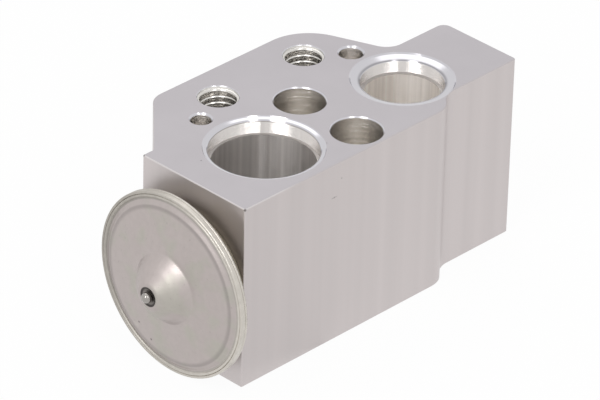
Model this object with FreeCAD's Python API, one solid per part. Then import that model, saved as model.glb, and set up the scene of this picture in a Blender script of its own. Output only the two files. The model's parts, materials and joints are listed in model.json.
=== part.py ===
import FreeCAD, Part
import math
import os

V = FreeCAD.Vector

# Block-type thermostatic expansion valve for a vehicle's cooling circuit, in millimetres.
# X runs along the valve's axis, from the capsule (-X) to the adjusting screw (+X).
# Y points towards the wing that carries the threaded holes. Z runs along the ports.
# The origin is on the bottom face, midway between the two clamp screw holes.

# Valve block: an extruded aluminium section, cut to length along Z
BLOCK_LENGTH = 58.0
BLOCK_HEIGHT = 29.2
HEAD_SETBACK = 26.6
HEAD_WIDTH = 20.2
TAIL_WIDTH = 14.4
TAIL_START = 13.95
STEP_ANGLE = 48.6
STEP_RADIUS = 4.0
WING_REACH = 20.65
WING_INSET = 1.95
WING_HEAD_ANGLE = 46.0
WING_TAIL_CORNER = 14.84
WING_TAIL_ANGLE = 68.2
WING_HEAD_RADIUS = 3.5
WING_TAIL_RADIUS = 8.0
WING_ROOT_RADIUS = 3.0
TAIL_FAR_RADIUS = 1.5
TAIL_NEAR_RADIUS = 0.5
CORNER_BREAK = 0.2
EDGE_BREAK = 0.12

# Bores along the valve's axis
AXIS_HEIGHT = 14.1
NECK_RADIUS = 8.0
HEAD_BORE_DEPTH = 4.7
ROD_PASSAGE_RADIUS = 4.2
SEAL_POCKET_RADIUS = 2.5
SEAL_POCKET_DEPTH = 2.5
GAS_CAVITY_RADIUS = 2.2
CHAMBER_RADIUS = 4.4
THREAD_RADIUS = 5.0
THREAD_BORE_DEPTH = 5.2
THREAD_MOUTH_CHAMFER = 0.6

# Ports: the suction line runs straight through, the liquid line has one port in each face
SUCTION_SETBACK = 12.8
INLET_REACH = 15.2
OUTLET_REACH = 10.5
SUCTION_SEAT_RADIUS = 7.95
SUCTION_BORE_RADIUS = 7.5
SUCTION_RING_WIDTH = 0.8
SUCTION_RING_DEPTH = 0.25
LIQUID_SEAT_RADIUS = 6.1
LIQUID_BORE_RADIUS = 5.55
LIQUID_RING_WIDTH = 1.6
LIQUID_RING_DEPTH = 0.45
INLET_BORE_DEPTH = 9.4
OUTLET_BORE_DEPTH = 8.2
INLET_DRILL_RADIUS = 2.6
CHANNEL_RADIUS = 2.0
CHANNEL_REACH = 7.2
PORT_SEAT_DEPTH = 2.4
PORT_EDGE = 0.18

# Screw and locating holes, all square to the top face
CLAMP_SPACING = 11.3
CLAMP_RADIUS = 3.75
CLAMP_CHAMFER = 0.18
FLANGE_SCREW_SPACING = 17.25
FLANGE_SCREW_MIDDLE = 0.98
FLANGE_SCREW_OFFSET = 14.4
FLANGE_SCREW_RADIUS = 3.0
FLANGE_SCREW_DEPTH = 14.0
FLANGE_SCREW_CHAMFER = 0.12
HEAD_PIN_X = -13.8
HEAD_PIN_Y = 11.6
HEAD_PIN_RADIUS = 1.5
TAIL_PIN_Y = 10.3
TAIL_PIN_RADIUS = 1.75
LOCATING_DEPTH = 5.0
LOCATING_CHAMFER = 0.27
DRILL_TIP_ANGLE = 118.0

# Capsule: two stamped covers welded at their rims round the diaphragm
CAPSULE_RADIUS = 14.05
COVER_SHEET = 0.5
FACE_RIM = 1.9
FACE_PROUD = 0.4
FACE_CROWN = 0.9
SHOULDER_RUN = 0.65
SHOULDER_ROUND = 0.6
LIP_WIDTH = 0.5
LIP_PROUD = 0.15
LIP_ROUND = 0.14
WELD_WIDTH = 0.42
WELD_PROUD = 0.12
WELD_ROUND = 0.3
WELD_LAND = 0.7
SEAM_ROUND = 0.15
HILL_HEIGHT = 3.25
HILL_BASE_RADIUS = 5.45
HILL_FOOT_ROUND = 0.5
HILL_WAIST_RADIUS = 4.0
HILL_WAIST_HEIGHT = 1.75
HILL_WAIST_ROUND = 3.0
HILL_TOP_RADIUS = 1.9
HILL_TOP_ROUND = 0.9
CHARGE_HOLE_RADIUS = 0.5
CHARGE_SINK_RADIUS = 1.55
CHARGE_SINK_DEPTH = 0.45
PLUG_HEAD_RADIUS = 0.8
PLUG_STEM_LENGTH = 1.3
CUP_DEPTH = 2.0
CUP_RIM = 1.65
CUP_WALL_RUN = 1.2
CUP_ROUND = 0.5
GASKET_THICKNESS = 0.9
GASKET_WIDTH = 2.5
NECK_SPIGOT_RADIUS = 6.4
NECK_BORE_RADIUS = 5.0
NECK_END_GAP = 0.5
DIAPHRAGM_SHEET = 0.15
DIAPHRAGM_WAVES = 3
DIAPHRAGM_WAVE_HEIGHT = 0.12
STOP_PLATE_MARGIN = 2.6
STOP_PLATE_THICKNESS = 1.1
STOP_BOSS_RADIUS = 3.9
STOP_BOSS_LENGTH = 2.65
ROD_SOCKET_DEPTH = 2.3

# Valve train: what the diaphragm pushes
ROD_RADIUS = 3.0
ROD_END_GAP = 2.0
ROD_CHAMFER = 0.4
PIN_RADIUS = 1.0
PIN_SOCKET_DEPTH = 8.0
BALL_RADIUS = 2.0
SEAT_LENGTH = 3.0
SEAT_RADIUS = 3.2
SEAT_BORE_RADIUS = 1.3
SEAT_CONE_DEPTH = 0.8
SEAT_SETBACK = 0.2
SEAT_GAP = 0.07
CARRIER_NOSE_GAP = 0.4
CARRIER_NOSE_RADIUS = 2.9
CARRIER_NOSE_LENGTH = 1.2
CARRIER_FLANGE_RADIUS = 3.7
CARRIER_FLANGE_THICKNESS = 1.0
CARRIER_STUB_RADIUS = 2.4
CARRIER_STUB_LENGTH = 3.0
CARRIER_FLOOR = 0.45
DAMPER_SHEET = 0.2
DAMPER_WIDTH = 0.8
DAMPER_FINGERS = 3
DAMPER_BOW_RADIUS = 2.2

# Rod seal
SEAL_SECTION_RADIUS = 0.7
SEAL_WASHER_THICKNESS = 0.35
SEAL_WASHER_BORE = 1.1
RETAINER_THICKNESS = 0.35
RETAINER_BORE = 1.3
RETAINER_SLOTS = 6
RETAINER_SLOT_WIDTH = 0.3
RETAINER_SLOT_DEPTH = 0.6

# Valve spring and adjusting screw
SPRING_WIRE_RADIUS = 0.5
SPRING_MEAN_RADIUS = 3.2
SPRING_LENGTH = 6.4
SPRING_TURNS = 4.5
SCREW_RECESS = 1.0
SCREW_THREAD_LENGTH = 2.8
SCREW_NOSE_RADIUS = 4.25
SCREW_PILOT_RADIUS = 2.4
SCREW_PILOT_LENGTH = 1.2
SCREW_CHAMFER = 0.4
SCREW_RING_SETBACK = 1.4
RING_GROOVE_WIDTH = 1.4
RING_GROOVE_RADIUS = 3.1
RING_SECTION_RADIUS = 0.6
HEX_ACROSS_FLATS = 4.0
HEX_DEPTH = 3.0

# Clearances
RUNNING_GAP = 0.05
THREAD_GAP = 0.03
REST_GAP = 0.05
WELD_GAP = 0.005
OVERCUT = 2.0
FILLET_SHARE = 0.49

# Places along the axis, worked out from the sizes above
X_HEAD = -HEAD_SETBACK
X_END = X_HEAD + BLOCK_LENGTH
X_SUCTION = -SUCTION_SETBACK
X_SEAL_FLOOR = X_SUCTION + SUCTION_BORE_RADIUS + SEAL_POCKET_DEPTH
X_SEAT_BACK = CHANNEL_REACH + CHANNEL_RADIUS + SEAT_SETBACK
X_SEAT_FACE = X_SEAT_BACK + SEAT_LENGTH
X_SEAT_EDGE = X_SEAT_FACE - SEAT_CONE_DEPTH
X_BALL = X_SEAT_EDGE + BALL_RADIUS * math.sqrt(2) - SEAT_BORE_RADIUS + SEAT_GAP
X_NOSE = X_BALL + CARRIER_NOSE_GAP
X_FLANGE = X_NOSE + CARRIER_NOSE_LENGTH
X_SPRING = X_FLANGE + CARRIER_FLANGE_THICKNESS
X_SCREW_NOSE = X_SPRING + SPRING_LENGTH
X_THREAD = X_END - THREAD_BORE_DEPTH
X_SCREW_END = X_END - SCREW_RECESS
X_RING = X_SCREW_NOSE + SCREW_RING_SETBACK + RING_GROOVE_WIDTH / 2
X_CUP_BACK = X_HEAD - GASKET_THICKNESS
X_CUP_FLOOR = X_CUP_BACK - COVER_SHEET
X_CLAMP = X_CUP_FLOOR - CUP_DEPTH
X_RIM_FRONT = X_CLAMP - DIAPHRAGM_SHEET - COVER_SHEET
X_FACE = X_RIM_FRONT - FACE_PROUD
X_FOOT = X_FACE - FACE_CROWN
X_PEAK = X_FOOT - HILL_HEIGHT
SINK_RUN = CHARGE_SINK_RADIUS - CHARGE_HOLE_RADIUS
SINK_ANGLE = math.atan2(SINK_RUN, CHARGE_SINK_DEPTH)
X_PLUG = (X_PEAK + CHARGE_SINK_DEPTH * CHARGE_SINK_RADIUS / SINK_RUN
          - (PLUG_HEAD_RADIUS + WELD_GAP) / math.sin(SINK_ANGLE))
X_STOP_PLATE = X_CLAMP + REST_GAP
X_BOSS_END = X_STOP_PLATE + STOP_PLATE_THICKNESS + STOP_BOSS_LENGTH
X_ROD_START = X_BOSS_END - ROD_SOCKET_DEPTH
X_ROD_END = X_SUCTION + SUCTION_BORE_RADIUS - ROD_END_GAP
X_PIN_START = X_ROD_END - PIN_SOCKET_DEPTH
X_PIN_END = X_BALL - BALL_RADIUS

# Radii inside the capsule, worked out from its outer radius
FACE_RADIUS = CAPSULE_RADIUS - FACE_RIM
CUP_MOUTH_RADIUS = CAPSULE_RADIUS - CUP_RIM
CUP_FLOOR_RADIUS = CUP_MOUTH_RADIUS - CUP_WALL_RUN
STOP_PLATE_RADIUS = CUP_FLOOR_RADIUS - STOP_PLATE_MARGIN

AXIS_FOOT = V(0, 0, AXIS_HEIGHT)
ALONG_X = V(1, 0, 0)
ALONG_Y = V(0, 1, 0)
UP = V(0, 0, 1)


def fillet_points(before, corner, after, radius):
    """Start, middle and end of the arc that rounds a corner, kept inside the corner's two edges."""
    back = before - corner
    ahead = after - corner
    half_angle = back.getAngle(ahead) / 2
    reach = radius / math.tan(half_angle)
    longest = FILLET_SHARE * min(back.Length, ahead.Length)
    if reach > longest:
        radius = radius * longest / reach
        reach = longest
    back.normalize()
    ahead.normalize()
    inward = (back + ahead).normalize()
    middle = corner + inward * (radius / math.sin(half_angle) - radius)
    return corner + back * reach, middle, corner + ahead * reach


def outline(corners, place):
    """Closed face through corners (u, v) or (u, v, fillet radius), put in space by place(u, v)."""
    points = [place(corner[0], corner[1]) for corner in corners]
    radii = [corner[2] if len(corner) > 2 else 0 for corner in corners]
    count = len(points)
    edges = []
    stops = []
    for i in range(count):
        if radii[i] > 0:
            stops.append(fillet_points(points[i - 1], points[i], points[(i + 1) % count], radii[i]))
        else:
            stops.append((points[i],))
    for i in range(count):
        if len(stops[i]) == 3:
            edges.append(Part.Arc(*stops[i]).toShape())
        leave = stops[i][-1]
        reach = stops[(i + 1) % count][0]
        if leave.distanceToPoint(reach) > 1e-6:
            edges.append(Part.makeLine(leave, reach))
    return Part.Face(Part.Wire(edges))


def turned(corners, foot=AXIS_FOOT, along=ALONG_X, outward=UP):
    """Solid of revolution. A corner is (place along the axis, radius) or has a fillet radius too."""
    section = outline(corners, lambda u, v: foot + along * u + outward * v)
    return section.revolve(foot, along, 360)


def sheet(path, thickness):
    """Corners of a pressed sheet's section: the path (u, v, radius), and back along its other side."""
    other = []
    for i in range(len(path)):
        here = V(path[i][0], path[i][1], 0)
        normals = []
        for step in (-1, 0):
            if 0 <= i + step and i + step + 1 < len(path):
                run = V(path[i + step + 1][0] - path[i + step][0], path[i + step + 1][1] - path[i + step][1], 0)
                run.normalize()
                normals.append(V(run.y, -run.x, 0))
        turn = 1 if normals[0].cross(normals[-1]).z > 0 else -1
        mean = (normals[0] + normals[-1]).normalize()
        there = here + mean * (thickness / mean.dot(normals[0]))
        radius = path[i][2] if len(path[i]) > 2 else 0
        if radius > 0:
            radius = max(radius + turn * thickness, abs(thickness) / 4)
        other.append((there.x, there.y, radius))
    return list(path) + other[::-1]


def rod(radius, start, end):
    """Cylinder on the valve's axis."""
    return turned([(start, 0), (start, radius), (end, radius), (end, 0)])


def ring(place, mean_radius, section_radius):
    """O-ring on the valve's axis."""
    return Part.makeTorus(mean_radius, section_radius, V(place, 0, AXIS_HEIGHT), ALONG_X)


def drill(x, y, from_top, profile):
    """Cutter square to the top or bottom face. The profile is (depth, radius) from the face inwards."""
    foot = V(x, y, BLOCK_HEIGHT if from_top else 0)
    inward = UP * (-1 if from_top else 1)
    mouth = profile[0][1]
    corners = [(-OVERCUT, 0), (-OVERCUT, mouth)] + list(profile)
    if profile[-1][1] > 0:
        corners.append((profile[-1][0], 0))
    return turned(corners, foot, inward, ALONG_X)


def drill_tip(radius):
    """Height of the cone that a drill leaves at the bottom of a blind hole."""
    return radius / math.tan(math.radians(DRILL_TIP_ANGLE / 2))


def blind_hole(x, y, radius, depth, chamfer):
    """Chamfered blind hole in the top face, with the drill's cone at its bottom."""
    return drill(x, y, True, [(0, radius + chamfer), (chamfer, radius), (depth, radius),
                              (depth + drill_tip(radius), 0)])


def port_mouth(x, from_top, seat_radius, bore_radius, ring_width, ring_depth, depth):
    """Port: a shallow ring round the mouth, the O-ring's seat, and the bore behind it."""
    return drill(x, 0, from_top, [
        (0, seat_radius + ring_width),
        (ring_depth / 2, seat_radius + ring_width * 0.85),
        (ring_depth, seat_radius + PORT_EDGE),
        (ring_depth + PORT_EDGE, seat_radius),
        (PORT_SEAT_DEPTH, seat_radius),
        (PORT_SEAT_DEPTH, bore_radius),
        (depth, bore_radius),
    ])


def block_outline():
    """The extruded section, anticlockwise from the head end's near corner."""
    near = -HEAD_WIDTH / 2
    far = HEAD_WIDTH / 2
    tail = TAIL_WIDTH / 2
    step_run = (-tail - near) / math.tan(math.radians(STEP_ANGLE))
    wing_start = X_HEAD + WING_INSET
    wing_corner = wing_start + (WING_REACH - far) / math.tan(math.radians(WING_HEAD_ANGLE))
    wing_root = WING_TAIL_CORNER + (WING_REACH - tail) / math.tan(math.radians(WING_TAIL_ANGLE))
    return outline([
        (X_HEAD, near, CORNER_BREAK),
        (TAIL_START, near, STEP_RADIUS),
        (TAIL_START + step_run, -tail, STEP_RADIUS),
        (X_END, -tail, TAIL_NEAR_RADIUS),
        (X_END, tail, TAIL_FAR_RADIUS),
        (wing_root, tail, WING_ROOT_RADIUS),
        (WING_TAIL_CORNER, WING_REACH, WING_TAIL_RADIUS),
        (wing_corner, WING_REACH, WING_HEAD_RADIUS),
        (wing_start, far, CORNER_BREAK),
        (X_HEAD, far, CORNER_BREAK),
    ], lambda x, y: V(x, y, 0))


def break_outer_edges(body):
    """Light chamfer round the top and bottom faces."""
    edges = []
    for edge in body.Edges:
        heights = [vertex.Z for vertex in edge.Vertexes]
        if max(heights) < EDGE_BREAK or min(heights) > BLOCK_HEIGHT - EDGE_BREAK:
            edges.append(edge)
    return body.makeChamfer(EDGE_BREAK, edges)


def axial_bores():
    """What is bored along the valve's axis, from the head end and from the tail end."""
    return [
        turned([(X_HEAD - OVERCUT, 0), (X_HEAD - OVERCUT, NECK_RADIUS + EDGE_BREAK),
                (X_HEAD, NECK_RADIUS + EDGE_BREAK), (X_HEAD + EDGE_BREAK, NECK_RADIUS),
                (X_HEAD + HEAD_BORE_DEPTH, NECK_RADIUS), (X_HEAD + HEAD_BORE_DEPTH, 0)]),
        rod(ROD_PASSAGE_RADIUS, X_HEAD, X_SUCTION),
        rod(SEAL_POCKET_RADIUS, X_SUCTION, X_SEAL_FLOOR),
        rod(PIN_RADIUS + RUNNING_GAP, X_SUCTION, CHANNEL_REACH),
        rod(GAS_CAVITY_RADIUS, CHANNEL_REACH - CHANNEL_RADIUS / 2, X_SEAT_BACK + SEAT_LENGTH / 2),
        rod(SEAT_RADIUS, X_SEAT_BACK, X_SEAT_FACE + SEAT_LENGTH / 2),
        rod(CHAMBER_RADIUS, X_SEAT_FACE, X_END),
        turned([(X_THREAD, 0), (X_THREAD, THREAD_RADIUS), (X_END - THREAD_MOUTH_CHAMFER, THREAD_RADIUS),
                (X_END, THREAD_RADIUS + THREAD_MOUTH_CHAMFER),
                (X_END + OVERCUT, THREAD_RADIUS + THREAD_MOUTH_CHAMFER), (X_END + OVERCUT, 0)]),
    ]


def port_bores():
    """The suction line's straight passage, and the liquid line's two ports with their drillings."""
    suction = (SUCTION_SEAT_RADIUS, SUCTION_BORE_RADIUS, SUCTION_RING_WIDTH, SUCTION_RING_DEPTH)
    liquid = (LIQUID_SEAT_RADIUS, LIQUID_BORE_RADIUS, LIQUID_RING_WIDTH, LIQUID_RING_DEPTH)
    return [
        port_mouth(X_SUCTION, True, *suction, BLOCK_HEIGHT / 2 + OVERCUT),
        port_mouth(X_SUCTION, False, *suction, BLOCK_HEIGHT / 2 + OVERCUT),
        port_mouth(INLET_REACH, True, *liquid, INLET_BORE_DEPTH),
        port_mouth(OUTLET_REACH, False, *liquid, OUTLET_BORE_DEPTH),
        drill(INLET_REACH, 0, True, [(0, INLET_DRILL_RADIUS),
                                     (BLOCK_HEIGHT - AXIS_HEIGHT, INLET_DRILL_RADIUS)]),
        drill(CHANNEL_REACH, 0, False, [(0, CHANNEL_RADIUS), (AXIS_HEIGHT, CHANNEL_RADIUS)]),
    ]


def screw_holes():
    """Clamp holes right through, threaded holes at their outer diameter, and locating holes."""
    holes = []
    for side in (-1, 1):
        y = side * CLAMP_SPACING / 2
        for from_top in (True, False):
            holes.append(drill(0, y, from_top, [
                (0, CLAMP_RADIUS + CLAMP_CHAMFER), (CLAMP_CHAMFER, CLAMP_RADIUS),
                (BLOCK_HEIGHT / 2 + OVERCUT, CLAMP_RADIUS)]))
        x = FLANGE_SCREW_MIDDLE + side * FLANGE_SCREW_SPACING / 2
        holes.append(blind_hole(x, FLANGE_SCREW_OFFSET, FLANGE_SCREW_RADIUS, FLANGE_SCREW_DEPTH,
                                FLANGE_SCREW_CHAMFER))
    holes.append(blind_hole(HEAD_PIN_X, HEAD_PIN_Y, HEAD_PIN_RADIUS, LOCATING_DEPTH, LOCATING_CHAMFER))
    holes.append(blind_hole(INLET_REACH, TAIL_PIN_Y, TAIL_PIN_RADIUS, LOCATING_DEPTH, LOCATING_CHAMFER))
    return holes


def valve_block():
    body = break_outer_edges(block_outline().extrude(UP * BLOCK_HEIGHT))
    for cutter in axial_bores() + port_bores() + screw_holes():
        body = body.cut(cutter)
    return body


def orifice_seat():
    """Pressed-in seat ring with the cone that the ball closes on."""
    return turned([
        (X_SEAT_BACK, SEAT_BORE_RADIUS), (X_SEAT_BACK, SEAT_RADIUS), (X_SEAT_FACE, SEAT_RADIUS),
        (X_SEAT_FACE, SEAT_BORE_RADIUS + SEAT_CONE_DEPTH), (X_SEAT_EDGE, SEAT_BORE_RADIUS)])


def capsule_outer_cover():
    """Stamped cover: hill with the charging hole, crowned face, shoulder, lip and weld bead."""
    pressing = turned(sheet([
        (X_PEAK, CHARGE_HOLE_RADIUS),
        (X_PEAK, HILL_TOP_RADIUS, HILL_TOP_ROUND),
        (X_FOOT - HILL_WAIST_HEIGHT, HILL_WAIST_RADIUS, HILL_WAIST_ROUND),
        (X_FOOT, HILL_BASE_RADIUS, HILL_FOOT_ROUND),
        (X_FACE, FACE_RADIUS, SHOULDER_ROUND),
        (X_RIM_FRONT, FACE_RADIUS + SHOULDER_RUN, SHOULDER_ROUND),
        (X_RIM_FRONT, CAPSULE_RADIUS - WELD_LAND),
    ], COVER_SHEET))
    x_seal = X_CLAMP - DIAPHRAGM_SHEET
    weld_start = CAPSULE_RADIUS - WELD_WIDTH
    lip_start = weld_start - LIP_WIDTH
    x_lip = X_RIM_FRONT - LIP_PROUD
    x_weld = X_RIM_FRONT - WELD_PROUD
    bead = turned([
        (x_seal, lip_start), (X_RIM_FRONT, lip_start),
        (x_lip, lip_start + LIP_PROUD, LIP_ROUND), (x_lip, weld_start - LIP_PROUD / 2, LIP_ROUND),
        (X_RIM_FRONT, weld_start),
        (x_weld, weld_start + WELD_PROUD / 2, LIP_ROUND), (x_weld, CAPSULE_RADIUS, WELD_ROUND),
        (X_CLAMP, CAPSULE_RADIUS, SEAM_ROUND),
        (X_CLAMP, CAPSULE_RADIUS - WELD_LAND), (x_seal, CAPSULE_RADIUS - WELD_LAND)])
    sink = turned([(X_PEAK - CHARGE_SINK_DEPTH, 0), (X_PEAK - CHARGE_SINK_DEPTH, CHARGE_SINK_RADIUS),
                   (X_PEAK, CHARGE_SINK_RADIUS), (X_PEAK + CHARGE_SINK_DEPTH, CHARGE_HOLE_RADIUS),
                   (X_PEAK + CHARGE_SINK_DEPTH, 0)])
    return pressing.fuse(bead).cut(sink).removeSplitter()


def charge_plug():
    """Pin with a round head, welded into the countersink of the charging hole."""
    head = Part.makeSphere(PLUG_HEAD_RADIUS, V(X_PLUG, 0, AXIS_HEIGHT))
    stem = rod(CHARGE_HOLE_RADIUS, X_PLUG, X_PLUG + PLUG_HEAD_RADIUS + PLUG_STEM_LENGTH)
    return head.fuse(stem).removeSplitter()


def capsule_inner_cover():
    """Stamped cup behind the diaphragm, with a hole for the neck."""
    section = sheet([
        (X_CLAMP, CAPSULE_RADIUS),
        (X_CLAMP, CUP_MOUTH_RADIUS, CUP_ROUND),
        (X_CUP_FLOOR, CUP_FLOOR_RADIUS, CUP_ROUND),
        (X_CUP_FLOOR, NECK_SPIGOT_RADIUS),
    ], -COVER_SHEET)
    section[0] = (X_CLAMP, CAPSULE_RADIUS, SEAM_ROUND)
    section[-1] = (X_CLAMP + COVER_SHEET, CAPSULE_RADIUS, 2 * SEAM_ROUND)
    return turned(section)


def capsule_neck():
    """Threaded sleeve that is welded to the inner cover and screws into the block's head end."""
    x_tip = X_HEAD + HEAD_BORE_DEPTH - NECK_END_GAP
    radius = NECK_RADIUS - THREAD_GAP
    return turned([
        (X_CUP_FLOOR, NECK_BORE_RADIUS), (X_CUP_FLOOR, NECK_SPIGOT_RADIUS), (X_CUP_BACK, NECK_SPIGOT_RADIUS),
        (X_CUP_BACK, radius), (x_tip - SCREW_CHAMFER, radius), (x_tip, radius - SCREW_CHAMFER),
        (x_tip, NECK_BORE_RADIUS)])


def diaphragm():
    """Thin disc with concentric waves, clamped between the covers and flat over the stop plate."""
    edge = CAPSULE_RADIUS - WELD_LAND
    wave = (CUP_FLOOR_RADIUS - STOP_PLATE_RADIUS) / (2 * DIAPHRAGM_WAVES)
    path = [(X_CLAMP - DIAPHRAGM_SHEET, 0)]
    for i in range(2 * DIAPHRAGM_WAVES + 1):
        crest = DIAPHRAGM_WAVE_HEIGHT if i % 2 else 0
        path.append((X_CLAMP - DIAPHRAGM_SHEET + crest, STOP_PLATE_RADIUS + (i + 0.5) * wave, wave))
    path.append((X_CLAMP - DIAPHRAGM_SHEET, edge))
    return turned(sheet(path, DIAPHRAGM_SHEET))


def capsule_gasket():
    """Rubber washer between the capsule and the block's head end."""
    inner = NECK_RADIUS + 2 * RUNNING_GAP
    outer = inner + GASKET_WIDTH
    corner = GASKET_THICKNESS / 5
    return turned([(X_CUP_BACK, inner, corner), (X_CUP_BACK, outer, corner),
                   (X_HEAD, outer, corner), (X_HEAD, inner, corner)])


def stop_plate():
    """Disc that the diaphragm pushes, with a boss that holds the sensing rod."""
    x_back = X_STOP_PLATE + STOP_PLATE_THICKNESS
    socket = ROD_RADIUS + THREAD_GAP
    return turned([
        (X_STOP_PLATE, 0), (X_STOP_PLATE, STOP_PLATE_RADIUS, STOP_PLATE_THICKNESS / 3),
        (x_back, STOP_PLATE_RADIUS, STOP_PLATE_THICKNESS / 3), (x_back, STOP_BOSS_RADIUS, STOP_PLATE_THICKNESS / 3),
        (X_BOSS_END, STOP_BOSS_RADIUS, STOP_PLATE_THICKNESS / 4), (X_BOSS_END, socket), (X_ROD_START, socket),
        (X_ROD_START, 0)])


def sensing_rod():
    """Rod that crosses the suction passage and takes up the gas temperature."""
    socket = PIN_RADIUS + THREAD_GAP
    return turned([
        (X_ROD_START, 0), (X_ROD_START, ROD_RADIUS), (X_ROD_END - ROD_CHAMFER, ROD_RADIUS),
        (X_ROD_END, ROD_RADIUS - ROD_CHAMFER), (X_ROD_END, socket), (X_PIN_START, socket), (X_PIN_START, 0)])


def push_pin():
    """Thin pin from the sensing rod, through the seal and the seat, to the ball."""
    corner = PIN_RADIUS / 5
    return turned([
        (X_PIN_START, 0), (X_PIN_START, PIN_RADIUS, corner), (X_PIN_END, PIN_RADIUS, corner), (X_PIN_END, 0)])


def rod_seal():
    return ring(X_SEAL_FLOOR - REST_GAP - SEAL_SECTION_RADIUS, (PIN_RADIUS + SEAL_POCKET_RADIUS) / 2,
                SEAL_SECTION_RADIUS)


def seal_washer_start():
    """Place of the washer's far face, next to the rod seal."""
    return X_SEAL_FLOOR - 2 * REST_GAP - 2 * SEAL_SECTION_RADIUS


def rod_seal_washer():
    """Flat washer that backs the seal."""
    end = seal_washer_start()
    start = end - SEAL_WASHER_THICKNESS
    outer = SEAL_POCKET_RADIUS - RUNNING_GAP
    return turned([(start, SEAL_WASHER_BORE), (start, outer), (end, outer), (end, SEAL_WASHER_BORE)])


def rod_seal_retainer():
    """Slotted push-in nut that holds the seal and its washer in the pocket."""
    end = seal_washer_start() - SEAL_WASHER_THICKNESS
    start = end - RETAINER_THICKNESS
    nut = turned([(start, RETAINER_BORE), (start, SEAL_POCKET_RADIUS), (end, SEAL_POCKET_RADIUS),
                  (end, RETAINER_BORE)])
    for i in range(RETAINER_SLOTS):
        slot = Part.makeBox(RETAINER_THICKNESS + 2 * OVERCUT, RETAINER_SLOT_WIDTH,
                            RETAINER_BORE + RETAINER_SLOT_DEPTH,
                            V(start - OVERCUT, -RETAINER_SLOT_WIDTH / 2, AXIS_HEIGHT))
        slot.rotate(AXIS_FOOT, ALONG_X, 360 * i / RETAINER_SLOTS)
        nut = nut.cut(slot)
    return nut


def valve_ball():
    return Part.makeSphere(BALL_RADIUS, V(X_BALL, 0, AXIS_HEIGHT))


def ball_carrier():
    """Holds the ball in a 90 degree cone, with a flange for the spring and a stub inside it."""
    x_apex = X_BALL + BALL_RADIUS * math.sqrt(2)
    x_floor = x_apex - CARRIER_FLOOR
    x_stub = X_SPRING + CARRIER_STUB_LENGTH
    return turned([
        (X_NOSE, x_apex - X_NOSE), (X_NOSE, CARRIER_NOSE_RADIUS), (X_FLANGE, CARRIER_NOSE_RADIUS),
        (X_FLANGE, CARRIER_FLANGE_RADIUS), (X_SPRING, CARRIER_FLANGE_RADIUS), (X_SPRING, CARRIER_STUB_RADIUS),
        (x_stub - SCREW_CHAMFER, CARRIER_STUB_RADIUS), (x_stub, CARRIER_STUB_RADIUS - SCREW_CHAMFER), (x_stub, 0),
        (x_floor, 0), (x_floor, CARRIER_FLOOR)])


def damping_spring():
    """Ring on the carrier with bowed fingers that rub on the chamber's wall."""
    middle = (X_NOSE + X_FLANGE) / 2
    start = middle - DAMPER_WIDTH / 2
    end = middle + DAMPER_WIDTH / 2
    inner = CARRIER_NOSE_RADIUS
    bow_offset = CHAMBER_RADIUS - 2 * RUNNING_GAP - DAMPER_BOW_RADIUS
    core = rod(inner + DAMPER_SHEET / 2, start - OVERCUT, end + OVERCUT)
    clip = rod(inner + DAMPER_SHEET, start, end).cut(rod(inner, start - OVERCUT, end + OVERCUT))
    for i in range(DAMPER_FINGERS):
        bow = rod(DAMPER_BOW_RADIUS, start, end).cut(rod(DAMPER_BOW_RADIUS - DAMPER_SHEET, start, end))
        bow.translate(UP * bow_offset)
        bow.rotate(AXIS_FOOT, ALONG_X, 360 * i / DAMPER_FINGERS)
        clip = clip.fuse(bow.cut(core))
    return clip.removeSplitter()


def valve_spring():
    """Compression spring with its two ends ground flat."""
    wire = SPRING_WIRE_RADIUS
    height = SPRING_LENGTH - wire
    helix = Part.makeHelix(height / SPRING_TURNS, height, SPRING_MEAN_RADIUS)
    section = Part.Wire(Part.makeCircle(wire, V(SPRING_MEAN_RADIUS, 0, 0), ALONG_Y))
    coil = Part.Wire(helix.Edges).makePipeShell([section], True, True)
    coil.rotate(V(0, 0, 0), ALONG_Y, 90)
    coil.translate(V(X_SPRING + wire / 2, 0, AXIS_HEIGHT))
    return coil.common(rod(SPRING_MEAN_RADIUS + 2 * wire, X_SPRING, X_SPRING + SPRING_LENGTH))


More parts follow.
